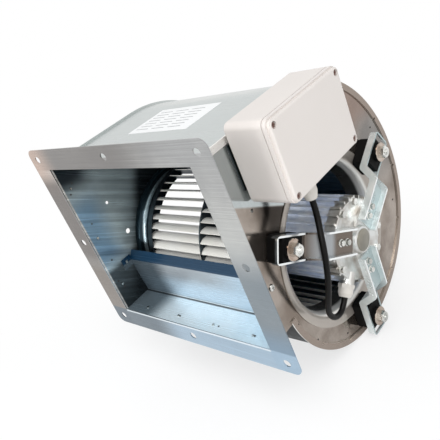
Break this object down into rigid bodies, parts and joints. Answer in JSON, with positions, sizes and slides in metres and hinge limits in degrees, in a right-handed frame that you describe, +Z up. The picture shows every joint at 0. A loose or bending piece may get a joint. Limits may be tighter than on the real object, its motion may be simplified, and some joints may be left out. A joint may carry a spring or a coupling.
{
  "type": "centrifugal fan",
  "caption": "Double inlet centrifugal fan: sheet-metal scroll with flanged rectangular outlet, forward-curved wheel, motor on three arms in the near inlet, grey terminal box.",
  "frame": {"origin": "middle of the outlet opening, on the front face of the outlet flange", "axes": "+X along the rotor line towards the motor, +Y into the casing from the outlet, +Z up, from the cut-off to the flat top plate"},
  "size_m": [0.4065, 0.386, 0.425],
  "materials": {
    "flange_steel": "satin",
    "casing_steel": "satin",
    "ring_steel": "satin",
    "wheel_steel": "satin",
    "arm_steel": "satin",
    "fastener_steel": "satin",
    "shaft_steel": "satin",
    "core_steel": "matte",
    "motor_aluminium": "satin",
    "winding_copper": "satin",
    "block_rubber": "matte",
    "cable_rubber": "satin",
    "gasket_rubber": "matte",
    "box_plastic": "satin",
    "gland_plastic": "satin",
    "strip_plastic": "matte",
    "capacitor_plastic": "satin"
  },
  "bodies": {
    "casing": {"arm_screws": "fastener_steel", "bearing_inner": "shaft_steel", "bearing_outer": "shaft_steel", "box_cover_screws": "fastener_steel", "box_gland": "gland_plastic", "cutoff_plate": "casing_steel", "cutoff_screws": "fastener_steel", "flange_rivets": "fastener_steel", "inlet_ring_far": "ring_steel", "inlet_ring_motor": "ring_steel", "motor_arm_lower": "arm_steel", "motor_arm_outlet": "arm_steel", "motor_arm_upper": "arm_steel", "motor_cable": "cable_rubber", "motor_end_shield": "motor_aluminium", "motor_front_shield": "motor_aluminium", "motor_gland": "gland_plastic", "motor_housing": "motor_aluminium", "motor_stator": "core_steel", "motor_windings": "winding_copper", "mount_nuts": "fastener_steel", "mount_studs": "fastener_steel", "mount_washers": "fastener_steel", "outlet_flange": "flange_steel", "rubber_block_lower": "block_rubber", "rubber_block_outlet": "block_rubber", "rubber_block_upper": "block_rubber", "scroll_wrapper": "casing_steel", "shield_screws": "fastener_steel", "side_plate_far": "casing_steel", "side_plate_motor": "casing_steel", "start_capacitor": "capacitor_plastic", "terminal_box_base": "box_plastic", "terminal_box_bracket": "casing_steel", "terminal_box_cover": "box_plastic", "terminal_box_gasket": "gasket_rubber", "terminal_strip": "strip_plastic"},
    "rotor": {"wheel_centre_disc": "wheel_steel", "wheel_hub": "wheel_steel", "hub_rivets": "fastener_steel", "hub_set_screw": "fastener_steel", "blades_motor_half": "wheel_steel", "blades_far_half": "wheel_steel", "wheel_ring_motor": "wheel_steel", "wheel_ring_far": "wheel_steel", "motor_shaft": "shaft_steel", "motor_rotor": "core_steel"}
  },
  "joints": [
    {"name": "rotor_spin", "type": "hinge", "parent": "casing", "child": "rotor", "pos_m": [0, 0.1875, -0.092], "axis": [1, 0, 0], "continuous": true}
  ]
}
